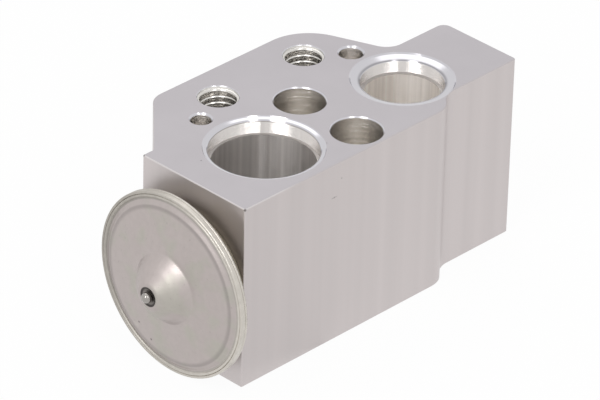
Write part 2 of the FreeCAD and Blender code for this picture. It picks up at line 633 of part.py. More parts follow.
def adjusting_screw():
    """Screw plug with the spring's pilot, a ring groove, the thread and a hexagon socket."""
    x_shoulder = X_SCREW_END - SCREW_THREAD_LENGTH
    x_pilot = X_SCREW_NOSE - SCREW_PILOT_LENGTH
    x_groove = X_SCREW_NOSE + SCREW_RING_SETBACK
    radius = THREAD_RADIUS - THREAD_GAP
    body = turned([
        (x_pilot, 0), (x_pilot, SCREW_PILOT_RADIUS, SCREW_CHAMFER), (X_SCREW_NOSE, SCREW_PILOT_RADIUS),
        (X_SCREW_NOSE, SCREW_NOSE_RADIUS, SCREW_CHAMFER), (x_groove, SCREW_NOSE_RADIUS),
        (x_groove, RING_GROOVE_RADIUS), (x_groove + RING_GROOVE_WIDTH, RING_GROOVE_RADIUS),
        (x_groove + RING_GROOVE_WIDTH, SCREW_NOSE_RADIUS), (x_shoulder, SCREW_NOSE_RADIUS),
        (x_shoulder, radius - SCREW_CHAMFER), (x_shoulder + SCREW_CHAMFER, radius),
        (X_SCREW_END - SCREW_CHAMFER, radius), (X_SCREW_END, radius - SCREW_CHAMFER), (X_SCREW_END, 0)])
    corner_radius = HEX_ACROSS_FLATS / 2 / math.cos(math.radians(30))
    corners = []
    for i in range(6):
        turn = math.radians(60 * i)
        corners.append((corner_radius * math.sin(turn), corner_radius * math.cos(turn)))
    hexagon = outline(corners, lambda y, z: V(X_SCREW_END - HEX_DEPTH, y, AXIS_HEIGHT + z))
    socket = hexagon.extrude(ALONG_X * (HEX_DEPTH + OVERCUT))
    lead_in = turned([
        (X_SCREW_END - HEX_DEPTH / 10, 0), (X_SCREW_END - HEX_DEPTH / 10, HEX_ACROSS_FLATS / 2),
        (X_SCREW_END, corner_radius), (X_SCREW_END + OVERCUT, corner_radius), (X_SCREW_END + OVERCUT, 0)])
    return body.cut(socket).cut(lead_in)


def adjuster_o_ring():
    mean_radius = RING_GROOVE_RADIUS + REST_GAP / 2 + RING_SECTION_RADIUS
    return ring(X_RING, mean_radius, RING_SECTION_RADIUS)


PIECES = [
    valve_block, orifice_seat, capsule_outer_cover, charge_plug, capsule_inner_cover, capsule_neck,
    diaphragm, capsule_gasket, stop_plate, sensing_rod, push_pin, rod_seal, rod_seal_washer,
    rod_seal_retainer, valve_ball, ball_carrier, damping_spring, valve_spring, adjusting_screw,
    adjuster_o_ring,
]

os.makedirs("parts", exist_ok=True)
for piece in PIECES:
    shape = piece()
    if not shape.isValid() or len(shape.Solids) != 1:
        raise ValueError(f"{piece.__name__} isn't one valid solid")
    shape.Solids[0].exportStep(f"parts/{piece.__name__}.step")
    box = shape.optimalBoundingBox()
    print(f"{piece.__name__:22} volume {shape.Volume:9.2f}  x {box.XMin:7.2f} {box.XMax:7.2f}"
          f"  y {box.YMin:7.2f} {box.YMax:7.2f}  z {box.ZMin:7.2f} {box.ZMax:7.2f}")
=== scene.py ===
import json
import math
from functools import reduce

import bmesh
import bpy
from mathutils import Matrix, Vector


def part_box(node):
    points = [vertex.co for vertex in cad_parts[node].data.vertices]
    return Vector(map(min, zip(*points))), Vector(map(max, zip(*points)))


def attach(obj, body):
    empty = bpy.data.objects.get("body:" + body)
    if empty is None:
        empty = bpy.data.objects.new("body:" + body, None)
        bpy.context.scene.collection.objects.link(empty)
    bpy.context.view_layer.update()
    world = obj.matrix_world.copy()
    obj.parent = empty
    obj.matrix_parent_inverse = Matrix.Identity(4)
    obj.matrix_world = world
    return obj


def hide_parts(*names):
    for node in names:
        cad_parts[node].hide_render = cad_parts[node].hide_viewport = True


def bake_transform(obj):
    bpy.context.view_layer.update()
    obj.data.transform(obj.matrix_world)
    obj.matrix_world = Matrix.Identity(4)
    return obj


bl_info = {
    "name": "Expansion valve finishes",
    "version": (1, 0, 0),
    "blender": (4, 5, 0),
    "location": "View3D > Sidebar > Valve",
    "description": "Metal finishes, screw threads and a studio for a block-type expansion valve",
    "category": "Object",
}

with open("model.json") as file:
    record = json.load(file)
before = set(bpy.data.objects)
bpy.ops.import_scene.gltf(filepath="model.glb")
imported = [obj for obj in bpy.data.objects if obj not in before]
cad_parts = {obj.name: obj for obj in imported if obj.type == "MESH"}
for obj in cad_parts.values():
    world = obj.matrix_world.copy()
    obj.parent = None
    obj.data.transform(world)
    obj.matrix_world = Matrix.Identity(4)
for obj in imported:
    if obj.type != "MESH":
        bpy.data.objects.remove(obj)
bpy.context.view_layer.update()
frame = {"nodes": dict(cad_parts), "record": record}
MM = 0.001

# Places and sizes of the frame, in millimetres
MOUNTS = {mount["name"]: mount for mount in frame["record"]["mounts"]}
BLOCK_LOW, BLOCK_HIGH = (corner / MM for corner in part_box("valve_block"))
CAPSULE_LOW, CAPSULE_HIGH = (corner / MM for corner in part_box("capsule_outer_cover"))
SCREW_LOW, SCREW_HIGH = (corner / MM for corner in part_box("adjusting_screw"))
SPRING_LOW, SPRING_HIGH = (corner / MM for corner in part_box("valve_spring"))
AXIS_Z = (SCREW_LOW.z + SCREW_HIGH.z) / 2
CAPSULE_RADIUS = (CAPSULE_HIGH.y - CAPSULE_LOW.y) / 2


def mount_place(name):
    """Place of a mount in millimetres."""
    return Vector(MOUNTS[name]["pos_m"]) / MM


def mount_size(name, key):
    """One of a mount's sizes in millimetres."""
    return MOUNTS[name]["dims"][key]


# Settings that a user would change


class BlockSettings(bpy.types.PropertyGroup):
    """Looks of the drawn, sawn and drilled aluminium block."""

    side_colour: bpy.props.FloatVectorProperty(
        name="Drawn sides", description="Colour of the extruded sides",
        subtype="COLOR", size=3, min=0, max=1, default=(0.61, 0.565, 0.56))
    face_colour: bpy.props.FloatVectorProperty(
        name="Port faces", description="Colour of the milled top and bottom faces",
        subtype="COLOR", size=3, min=0, max=1, default=(0.45, 0.428, 0.445))
    # Painted shade and light: the two passages are the same aluminium, a darker copy on the suction side and
    # a lighter copy on the liquid side
    suction_shaded_colour: bpy.props.FloatVectorProperty(
        name="Suction walls", description="Colour of the suction passage below its seats",
        subtype="COLOR", size=3, min=0, max=1, default=(0.59, 0.56, 0.54))
    liquid_lit_colour: bpy.props.FloatVectorProperty(
        name="Liquid walls", description="Colour of the liquid passage below its seats",
        subtype="COLOR", size=3, min=0, max=1, default=(0.95, 0.91, 0.87))
    seat_colour: bpy.props.FloatVectorProperty(
        name="Port seats", description="Colour of the ports' bright seats",
        subtype="COLOR", size=3, min=0, max=1, default=(0.62, 0.59, 0.57))
    ring_colour: bpy.props.FloatVectorProperty(
        name="Port rings", description="Colour of the shallow rings round the ports",
        subtype="COLOR", size=3, min=0, max=1, default=(0.58, 0.57, 0.60))
    hole_colour: bpy.props.FloatVectorProperty(
        name="Holes", description="Colour of the walls of the screw and locating holes",
        subtype="COLOR", size=3, min=0, max=1, default=(0.83, 0.795, 0.75))
    thread_colour: bpy.props.FloatVectorProperty(
        name="Threads", description="Colour of the cut threads",
        subtype="COLOR", size=3, min=0, max=1, default=(0.66, 0.64, 0.61))
    side_roughness: bpy.props.FloatProperty(
        name="Side roughness", description="Roughness of the drawn sides", min=0, max=1, default=0.42)
    face_roughness: bpy.props.FloatProperty(
        name="Face roughness", description="Roughness of the port faces", min=0, max=1, default=0.5)
    bore_roughness: bpy.props.FloatProperty(
        name="Bore roughness", description="Roughness of the small holes' walls and threads",
        min=0, max=1, default=0.22)
    seat_roughness: bpy.props.FloatProperty(
        name="Seat roughness", description="Roughness of the ports' seats", min=0, max=1, default=0.12)
    passage_roughness: bpy.props.FloatProperty(
        name="Passage roughness", description="Roughness of the walls below the seats",
        min=0, max=1, default=0.4)


class CapsuleSettings(bpy.types.PropertyGroup):
    """Looks of the stainless capsule."""

    cover_colour: bpy.props.FloatVectorProperty(
        name="Pressed sheet", description="Colour of the outer cover",
        subtype="COLOR", size=3, min=0, max=1, default=(0.49, 0.44, 0.425))
    # Painted shade: the inner cover is the same stainless as the outer one, given a darker colour for the
    # shade between the capsule and the block
    inner_shaded_colour: bpy.props.FloatVectorProperty(
        name="Inner sheet", description="Colour of the cover that faces the block",
        subtype="COLOR", size=3, min=0, max=1, default=(0.42, 0.39, 0.33))
    weld_colour: bpy.props.FloatVectorProperty(
        name="Weld bead", description="Straw tint that the heat leaves on the rim",
        subtype="COLOR", size=3, min=0, max=1, default=(0.54, 0.51, 0.465))
    stain_colour: bpy.props.FloatVectorProperty(
        name="Stain", description="Colour of the faint clouds on the covers",
        subtype="COLOR", size=3, min=0, max=1, default=(0.47, 0.445, 0.405))
    roughness: bpy.props.FloatProperty(
        name="Roughness", description="Roughness of the pressed sheet", min=0, max=1, default=0.36)


class ThreadSettings(bpy.types.PropertyGroup):
    """Sizes of the flange screws' threads, in millimetres."""

    pitch: bpy.props.FloatProperty(
        name="Pitch", description="Rise of the thread in one turn, in mm", min=0.2, max=3, default=1.0)
    ridge_height: bpy.props.FloatProperty(
        name="Ridge height", description="From the thread's root to its crest, in mm",
        min=0.1, max=1.5, default=0.45)
    turns: bpy.props.FloatProperty(
        name="Turns", description="Turns of thread in a hole", min=1, max=30, default=11.5)
    steps: bpy.props.IntProperty(
        name="Steps", description="Mesh steps in one turn", min=12, max=200, default=72)


class SpringSettings(bpy.types.PropertyGroup):
    """Sizes of the valve spring, in millimetres."""

    wire_radius: bpy.props.FloatProperty(
        name="Wire radius", description="Half the thickness of the wire, in mm", min=0.1, max=1, default=0.5)
    turns: bpy.props.FloatProperty(
        name="Turns", description="Turns of wire from end to end", min=2, max=20, default=4.5)
    train_turns: bpy.props.FloatProperty(
        name="Turns at the ball", description="Turns that give way when the ball's carrier moves",
        min=1, max=10, default=1.7)
    steps: bpy.props.IntProperty(
        name="Steps", description="Mesh steps in one turn", min=12, max=200, default=48)


class StudioSettings(bpy.types.PropertyGroup):
    """Camera, ground and sky."""

    azimuth: bpy.props.FloatProperty(
        name="Azimuth", description="Direction that the camera looks along, 0 along +Y",
        subtype="ANGLE", default=math.radians(-46.1345))
    elevation: bpy.props.FloatProperty(
        name="Elevation", description="Camera's angle above the ground",
        subtype="ANGLE", default=math.radians(31.3289))
    roll: bpy.props.FloatProperty(
        name="Roll", description="Camera's turn about its line of sight",
        subtype="ANGLE", default=math.radians(1.5569))
    distance: bpy.props.FloatProperty(
        name="Distance", description="From the camera to the aim point", unit="LENGTH", default=0.7586)
    lens: bpy.props.FloatProperty(
        name="Lens", description="Focal length on a 36 mm sensor", default=318.39)
    aim: bpy.props.FloatVectorProperty(
        name="Aim point", description="Point at the middle of the picture",
        subtype="TRANSLATION", size=3, default=(-0.0014547, 0.0036815, 0.0141737))
    ground_colour: bpy.props.FloatVectorProperty(
        name="Ground", description="Colour of the floor", subtype="COLOR", size=3, min=0, max=1,
        default=(0.86, 0.86, 0.86))
    sky_strength: bpy.props.FloatProperty(
        name="Sky", description="Strength of the even light from all round", min=0, max=5, default=0.7)


SETTINGS = {
    "valve_block_looks": BlockSettings,
    "valve_capsule_looks": CapsuleSettings,
    "valve_thread": ThreadSettings,
    "valve_spring_wire": SpringSettings,
    "valve_studio": StudioSettings,
}


# Shader maths


class Level:
    """A number in a material. Python's operators on it add Math nodes."""

    def __init__(self, nodes, socket):
        self.nodes = nodes
        self.socket = socket

    def maths(self, operation, *values):
        """Result of a Math node."""
        return self.nodes.node("ShaderNodeMath", {"operation": operation}, dict(enumerate(values)))

    def __add__(self, other):
        return self.maths("ADD", self, other)

    def __sub__(self, other):
        return self.maths("SUBTRACT", self, other)

    def __rsub__(self, other):
        return self.maths("SUBTRACT", other, self)

    def __mul__(self, other):
        return self.maths("MULTIPLY", self, other)

    def __truediv__(self, other):
        return self.maths("DIVIDE", self, other)

    def __pow__(self, other):
        return self.maths("POWER", self, other)

    __radd__ = __add__
    __rmul__ = __mul__

    def size(self):
        """The number without its sign."""
        return self.maths("ABSOLUTE", self)

    def larger(self, other):
        """The larger of two numbers."""
        return self.maths("MAXIMUM", self, other)

    def smaller(self, other):
        """The smaller of two numbers."""
        return self.maths("MINIMUM", self, other)

    def rise(self, low, high):
        """0 below low, 1 above high, with a smooth ramp between them."""
        sockets = {"Value": self, "From Min": low, "From Max": high}
        return self.nodes.node("ShaderNodeMapRange", {"interpolation_type": "SMOOTHSTEP"}, sockets)

    def fall(self, low, high):
        """1 below low, 0 above high, with a smooth ramp between them."""
        return 1 - self.rise(low, high)

    def band(self, start, full, fade, end):
        """0 outside start and end, 1 between full and fade, with smooth ramps."""
        return self.rise(start, full) * self.fall(fade, end)

    def disc(self, radius):
        """Mask of a round mark with a soft edge, where this is the distance from its centre."""
        return self.fall(radius * 0.5, radius)

    def between(self, low, high):
        """A level from 0 to 1, stretched to run from low to high."""
        return self * (high - low) + low


def largest(masks):
    """Mask of all that any of the masks covers."""
    return reduce(Level.larger, masks)


class Nodes:
    """The nodes of one material, or of the sky."""

    def __init__(self, tree):
        self.tree = tree

    def node(self, kind, settings=None, sockets=None, output=0):
        """Adds a node: its settings first, then values or links for its sockets."""
        node = self.tree.nodes.new(kind)
        for name, value in (settings or {}).items():
            setattr(node, name, value)
        for name, value in (sockets or {}).items():
            self.join(value, node.inputs[name])
        return Level(self, node.outputs[output])

    def join(self, value, socket):
        """Sets a socket to a value, or links a level to it."""
        if isinstance(value, Level):
            self.tree.links.new(value.socket, socket)
        elif socket.type == "RGBA" and len(value) == 3:
            socket.default_value = (*value, 1.0)
        else:
            socket.default_value = value

    def seen(self):
        """1 on rays that see the background: from the camera, off gloss and through glass."""
        rays = self.node("ShaderNodeLightPath").socket.node.outputs
        names = ("Is Camera Ray", "Is Glossy Ray", "Is Transmission Ray")
        return largest(Level(self, rays[name]) for name in names)

    def end(self, shader, output):
        """Leads a shader to the output node."""
        self.join(shader, self.tree.nodes[output].inputs["Surface"])


class Finish(Nodes):
    """One material: a Principled shader and the nodes that feed it, with places in millimetres."""

    def __init__(self, name, colour, roughness, metallic=1.0):
        self.material = bpy.data.materials.new(name)
        self.material.use_nodes = True
        super().__init__(self.material.node_tree)
        self.shader = self.tree.nodes["Principled BSDF"]
        self.set("Base Color", colour)
        self.set("Roughness", roughness)
        self.set("Metallic", metallic)
        coordinates = self.node("ShaderNodeTexCoord").socket.node.outputs
        self.place = self.vector("SCALE", Level(self, coordinates["Object"]), Scale=1 / MM)
        self.facing = self.parts(Level(self, coordinates["Normal"]))
        self.x, self.y, self.z = self.parts(self.place)
        self.bumps = None

    def set(self, name, value):
        """Sets or feeds a socket of the Principled shader."""
        self.join(value, self.shader.inputs[name])

    def vector(self, operation, *vectors, output=0, **others):
        """Result of a Vector Math node."""
        sockets = dict(enumerate(vectors))
        sockets.update(others)
        return self.node("ShaderNodeVectorMath", {"operation": operation}, sockets, output)

    def parts(self, vector):
        """The three numbers of a vector."""
        split = self.node("ShaderNodeSeparateXYZ", None, {0: vector}).socket.node
        return [Level(self, output) for output in split.outputs]

    def blend(self, mask, below, above, blend_type="MIX"):
        """Colour below where mask is 0, and colour above where it is 1."""
        settings = {"data_type": "RGBA", "blend_type": blend_type}
        return self.node("ShaderNodeMix", settings, {0: mask, 6: below, 7: above}, output=2)

    def shade(self, colour, amount):
        """Colour multiplied by a grey level."""
        grey = self.node("ShaderNodeCombineColor", None, {0: amount, 1: amount, 2: amount})
        return self.blend(1.0, colour, grey, "MULTIPLY")

    def noise(self, size, stretch=(1, 1, 1), detail=2.0):
        """Noise from 0 to 1 with features of about the given size in millimetres."""
        scale = [1 / (size * share) for share in stretch]
        place = self.vector("MULTIPLY", self.place, scale)
        return self.node("ShaderNodeTexNoise", None, {"Vector": place, "Scale": 1.0, "Detail": detail})

    def spot(self, centre, radius):
        """Mask of a round mark about a place in millimetres."""
        return self.vector("DISTANCE", self.place, centre, output=1).disc(radius)

    def about_z(self, x, y):
        """Distance from an upright line."""
        return ((self.x - x) ** 2 + (self.y - y) ** 2) ** 0.5

    def about_x(self, y=0, z=AXIS_Z):
        """Distance from a line along X, which is the valve's axis unless it is given."""
        return ((self.y - y) ** 2 + (self.z - z) ** 2) ** 0.5

    def emboss(self, height):
        """Adds a height in millimetres to the surface."""
        sockets = {"Height": height, "Distance": MM}
        if self.bumps:
            sockets["Normal"] = self.bumps
        self.bumps = self.node("ShaderNodeBump", None, sockets)
        self.set("Normal", self.bumps)


def dress(node, finish):
    """Puts a finish on a solid of the frame."""
    materials = frame["nodes"][node].data.materials
    materials.clear()
    materials.append(finish.material)


def add_object(name, data):
    """New object of the scene."""
    added = bpy.data.objects.new(name, data)
    bpy.context.scene.collection.objects.link(added)
    return added


def add_mesh(name, mesh, finish):
    """New object of the scene from a mesh, which is used up."""
    data = bpy.data.meshes.new(name)
    mesh.to_mesh(data)
    mesh.free()
    data.materials.append(finish.material)
    return add_object(name, data)


# The block. Sizes are in millimetres, and two or four numbers together are the ends of smooth ramps.


# How far the edge of a hole and the ring of a port reach past their radius
EDGE_MARGIN = 0.4
RING_MARGIN = 1.9
MARGIN_FADE = 0.1
# How far a surface faces an axis, or straight up or down, to count as a wall, a slope or a flat face
WALL_FACING = (0.02, 0.08)
SLOPE_FACING = (0.5, 0.7)
FLAT_FACING = (0.6, 0.8)
# Depths below the nearer port face
SEAT_DEPTH = 2.4
SEAT_FADE = 0.15
LEDGE_DEPTH = (0.6, 0.9)
STEP_DEPTH = (0.38, 0.46, 0.54, 0.64)
EDGE_HIGHLIGHT_DEPTH = (0.08, 0.2)
# Places along X where the painted edge highlight ends, and where the passages' painted shade on the suction
# side gives way to painted light on the liquid side
EDGE_HIGHLIGHT_END = (-21, -14)
SIDES_MEET = (-1, 1)

# Painted shade in the step where a ring meets its seat
STEP_PAINTED_SHADE = 0.4
# A painted highlight along the head end's edges of the drawn sides
EDGE_HIGHLIGHT_COLOUR = (0.92, 0.90, 0.88)
EDGE_HIGHLIGHT_STRENGTH = 0.6
MARK_COLOUR = (0.06, 0.05, 0.045)
MARK_STRENGTH = 0.75
BAND_ROUGHNESS = 0.06

# Heights of the bumps, and the slope that leads into a port's seat
LINE_HEIGHT = 0.004
GRAIN_HEIGHT = 0.004
GROOVE_HEIGHT = 0.03
SEAT_POLISH = 0.75
SEAT_SLOPE = 0.6

# Small dark nicks that the photo shows: x, y, z and radius
BLOCK_MARKS = [
    (-26.6, 10.0, 29.15, 0.28),
    (-26.6, -10.1, 29.1, 0.35),
    (-21.8, 3.4, 29.2, 0.13),
    (-5.6, -5.2, 29.2, 0.12),
    (-8.9, -10.1, 23.8, 0.16),
    (-9.3, -10.1, 23.8, 0.1),
    (-8.55, -10.1, 23.8, 0.1),
    (-7.5, -10.1, 26.4, 0.12),
    (-10.2, 8.8, 29.0, 0.2),
]


def holes():
    """Axis of each screw and locating hole, and how far its edge reaches."""
    clamp_gap = mount_size("clamp_screw_holes", "spacing_y_mm") / 2
    clamp_radius = mount_size("clamp_screw_holes", "hole_r_mm")
    flange = mount_place("flange_screw_holes")
    flange_gap = mount_size("flange_screw_holes", "spacing_x_mm") / 2
    flange_radius = mount_size("flange_screw_holes", "hole_r_mm")
    found = [
        (0, clamp_gap, clamp_radius + EDGE_MARGIN),
        (0, -clamp_gap, clamp_radius + EDGE_MARGIN),
        (flange.x - flange_gap, flange.y, flange_radius + EDGE_MARGIN),
        (flange.x + flange_gap, flange.y, flange_radius + EDGE_MARGIN),
    ]
    for name in ("head_locating_hole", "tail_locating_hole"):
        place = mount_place(name)
        found.append((place.x, place.y, mount_size(name, "r_mm") + EDGE_MARGIN))
    return found


def ports():
    """Axis of each port, and how far its ring reaches."""
    found = []
    for name in ("suction_outlet_port", "liquid_inlet_port", "liquid_outlet_port"):
        place = mount_place(name)
        found.append((place.x, place.y, mount_size(name, "r_mm") + RING_MARGIN))
    return found


def cut_wall(finish, x, y, reach):
    """Mask of an upright bore's wall: near the bore's axis and facing it, as the flat faces don't."""
    distance = finish.about_z(x, y)
    facing_x, facing_y = finish.facing[:2]
    inward = ((x - finish.x) * facing_x + (y - finish.y) * facing_y) / distance
    return distance.fall(reach, reach + MARGIN_FADE) * inward.rise(*WALL_FACING)


def block_finish(looks):
    """Looks of the block's drawn sides, milled faces, cut walls and small marks, with painted reflections,
    painted shade and a painted highlight.
    """
    finish = Finish("drawn_aluminium", looks.side_colour, looks.side_roughness)
    flatness = finish.facing[2].size()
    flat = flatness.rise(*FLAT_FACING)
    depth = (BLOCK_HIGH.z - finish.z).smaller(finish.z - BLOCK_LOW.z)
    port = largest(cut_wall(finish, *circle) for circle in ports())
    hole = largest(cut_wall(finish, *circle) for circle in holes())
    cut = port.larger(hole)
    seat = depth.fall(SEAT_DEPTH, SEAT_DEPTH + SEAT_FADE)
    slope = cut * flatness.rise(*SLOPE_FACING)
    uncut = 1 - cut
    sides = (1 - flat) * uncut

    # Drawn sides: long faint bands along Z. Port faces: faint clouds
    bands = finish.noise(size=2.6, stretch=(1, 1, 60), detail=3.0)
    cloud = finish.noise(size=9.0)
    side = finish.shade(looks.side_colour, bands.between(0.93, 1.07))
    face = finish.shade(looks.face_colour, cloud.between(0.96, 1.04))
    colour = finish.blend(flat, side, face)

    # Cut walls: rings from the tool in the holes, and painted reflections as long stripes along Z in the
    # ports
    rings = finish.noise(size=0.5, stretch=(60, 60, 1))
    painted_reflections = finish.noise(size=0.7, stretch=(1, 1, 300), detail=3.0)
    hole_wall = finish.shade(looks.hole_colour, rings.between(0.85, 1.15))
    # Painted shade and light: the darker copy of the passage colour on the suction side, the lighter copy on
    # the liquid side
    passage = finish.blend(finish.x.rise(*SIDES_MEET), looks.suction_shaded_colour, looks.liquid_lit_colour)
    passage = finish.shade(passage, painted_reflections.between(0.7, 1.3))
    seat_wall = finish.shade(looks.seat_colour, painted_reflections.between(0.9, 1.1))
    colour = finish.blend(hole, colour, hole_wall)
    colour = finish.blend(port, colour, passage)
    ledge = flat * depth.rise(*LEDGE_DEPTH) * uncut
    colour = finish.blend((port * seat).larger(ledge), colour, seat_wall)
    colour = finish.blend(slope, colour, looks.ring_colour)

    # Painted shade in the step where a ring meets its seat, a painted highlight along the head end's edges,
    # and the nicks
    colour = finish.shade(colour, 1 - port * depth.band(*STEP_DEPTH) * STEP_PAINTED_SHADE)
    edge_highlight = sides * depth.fall(*EDGE_HIGHLIGHT_DEPTH) * finish.x.fall(*EDGE_HIGHLIGHT_END)
    colour = finish.blend(edge_highlight * EDGE_HIGHLIGHT_STRENGTH, colour, EDGE_HIGHLIGHT_COLOUR)
    marks = largest(finish.spot((x, y, z), radius) for x, y, z, radius in BLOCK_MARKS)
    finish.set("Base Color", finish.blend(marks * MARK_STRENGTH, colour, MARK_COLOUR))

    outside = looks.side_roughness + bands * BAND_ROUGHNESS
    outside = outside + flat * (looks.face_roughness - looks.side_roughness)
    port_wall = looks.passage_roughness * (1 - seat) + looks.seat_roughness * seat
    finish.set("Roughness", outside * uncut + hole * looks.bore_roughness + port * port_wall)

    # Bumps: lines on the sides, grain on the faces, grooves in the cut walls
    lines = finish.noise(size=0.16, stretch=(1, 1, 200))
    grain = finish.noise(size=0.25, detail=3.0)
    finish.emboss(lines * LINE_HEIGHT * sides + grain * GRAIN_HEIGHT * flat * uncut)
    hole_grooves = finish.noise(size=0.03, stretch=(300, 300, 1), detail=1.0) * GROOVE_HEIGHT
    finish.emboss(hole_grooves * hole * (1 - slope))
    port_grooves = finish.noise(size=0.003, stretch=(400, 400, 1), detail=0.0) * GROOVE_HEIGHT
    lead_in = depth.smaller(SEAT_DEPTH) * SEAT_SLOPE
    finish.emboss((port_grooves * (1 - seat * SEAT_POLISH) + lead_in) * port * (1 - slope))
    return finish


class VALVE_OT_block(bpy.types.Operator):
    """Gives the block its drawn sides, milled faces and cut bores"""

    bl_idname = "valve.block"
    bl_label = "Finish the block"

    def execute(self, context):
        dress("valve_block", block_finish(context.scene.valve_block_looks))
        return {"FINISHED"}


# Pieces made of a section that is carried round


def sweep(mesh, place, steps, section, closed):
    """Skin over a section that place(step, inward, along) carries round to a ring, or to two flat ends."""
    rows = []
    for step in range(steps if closed else steps + 1):
        rows.append([mesh.verts.new(place(step, inward, along) * MM) for inward, along in section])
    if closed:
        rows.append(rows[0])
    for near, far in zip(rows, rows[1:]):
        for corner in range(len(section)):
            after = (corner + 1) % len(section)
            face = mesh.faces.new((near[corner], near[after], far[after], far[corner]))
            face.smooth = True
    if not closed:
        mesh.faces.new(rows[0][::-1])
        mesh.faces.new(rows[-1])


def show(name, mesh, finish):
    """Links a mesh as a piece of the valve."""
    bmesh.ops.recalc_face_normals(mesh, faces=mesh.faces)
    piece = add_mesh(name, mesh, finish)
    return piece


# Screw threads


# Depth of the countersink's rim below the port face, in millimetres
SINK_DEPTH = 0.1
# Share of its height at which a ridge starts, and the heights that it gains in a turn
RIDGE_START = 0.05
RIDGE_GROWTH = 2.0
# Corners of the ridge's section: share of its height from the wall inwards, and place in pitches
RIDGE_SECTION = [
    (0.0, -0.46),
    (0.75, -0.2),
    (0.93, -0.1),
    (1.0, 0.0),
    (0.93, 0.1),
    (0.75, 0.2),
    (0.0, 0.46),
]
# Corners of the countersink's section: the same share, and height in millimetres
SINK_SECTION = [(0.0, 0.0), (1.0, -0.54), (0.95, -0.62), (0.0, -0.9)]
THREAD_GRAIN_HEIGHT = 0.01


def thread_ridge(centre, radius, top, settings):
    """Countersink and helical ridge inside an upright hole. The ridge tapers off at both ends."""
    height = settings.ridge_height
    mesh = bmesh.new()

    def inside_wall(turn, inward, z):
        """Place at a turn about the hole's axis, a share of the ridge's height off the wall."""
        angle = math.tau * turn
        reach = radius - inward * height
        return Vector((centre.x + reach * math.cos(angle), centre.y + reach * math.sin(angle), z))

    def ridge_place(step, inward, along):
        turn = step / settings.steps
        to_end = min(turn, settings.turns - turn)
        share = min(1.0, RIDGE_GROWTH * to_end + RIDGE_START)
        z = top - height - settings.pitch * (turn - along * (1 + share) / 2)
        return inside_wall(turn, inward * share, z)

    def sink_place(step, inward, along):
        return inside_wall(step / settings.steps, inward, top + along)

    sweep(mesh, ridge_place, int(settings.turns * settings.steps), RIDGE_SECTION, closed=False)
    sweep(mesh, sink_place, settings.steps, SINK_SECTION, closed=True)
    return mesh


class VALVE_OT_threads(bpy.types.Operator):
    """Cuts the flange screws' threads into the wing's two holes"""

    bl_idname = "valve.threads"
    bl_label = "Cut the threads"

    def execute(self, context):
        looks = context.scene.valve_block_looks
        settings = context.scene.valve_thread
        finish = Finish("thread_aluminium", looks.thread_colour, looks.bore_roughness)
        finish.emboss(finish.noise(size=0.12) * THREAD_GRAIN_HEIGHT)
        middle = mount_place("flange_screw_holes")
        gap = mount_size("flange_screw_holes", "spacing_x_mm") / 2
        radius = mount_size("flange_screw_holes", "hole_r_mm")
        top = BLOCK_HIGH.z - SINK_DEPTH
        for name, side in (("head_screw_thread", -1), ("tail_screw_thread", 1)):
            centre = Vector((middle.x + side * gap, middle.y, 0))
            ridge = show(name, thread_ridge(centre, radius, top, settings), finish)
            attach(ridge, "housing")
        return {"FINISHED"}


# The capsule. Sizes are in millimetres, and two or four numbers together are the ends of smooth ramps.


# Distances in from the rim: the weld bead's end, the crease under it, and the flat face's start
WELD_END = (0.9, 1.3)
BEAD_CREASE = (0.85, 1.0, 1.05, 1.25)
LIP_CREASE = (1.75, 2.0, 2.1, 2.7)
# Painted shade in the crease under the bead and at the lip
BEAD_PAINTED_SHADE = 0.25
LIP_PAINTED_SHADE = 0.22
# The rim has painted shade that darkens it towards the wing's side, and it is duller there
RIM_SIDE_PAINTED_SHADE = 0.3
HEAT_ROUGHNESS = (-0.12, 0.18)
# Noise levels from which the faint specks, the stains and the smudge show
SPECKS_SHOW = (0.64, 0.74)
STAINS_SHOW = (0.46, 0.66)
SMUDGE_SHOWS = (0.35, 0.6)
SPECK_SHADE = 0.12
# Radii of the charging hole round the plug, with painted shade in it that is darkest at its edge
CHARGE_HOLE = (1.45, 1.55)
CHARGE_EDGE = (1.05, 1.3)
CHARGE_PAINTED_SHADE = 0.5
CHARGE_EDGE_PAINTED_SHADE = 0.35
# The hill is a little duller than the rest
HILL = (4.5, 5.0)
HILL_ROUGHNESS = 0.07
CLOUD_ROUGHNESS = 0.08
CLOUD_HEIGHT = 0.03
BLOTCH_HEIGHT = 0.006
# Small dark specks that the photo shows on the cover: y, z and radius
CAPSULE_MARKS = [
    (5.7, 5.7, 0.2),
    (3.3, 3.85, 0.22),
]
CAPSULE_MARK_STRENGTH = 0.7
# A pale smudge near them
SMUDGE_Y = 6.3
SMUDGE_Z = 5.2
SMUDGE_RADII = (0.16, 0.8)
SMUDGE_COLOUR = (0.62, 0.60, 0.55)
SMUDGE_STRENGTH = 0.35

PIN_COLOUR = (0.36, 0.34, 0.32)
PIN_GRAIN_HEIGHT = 0.01


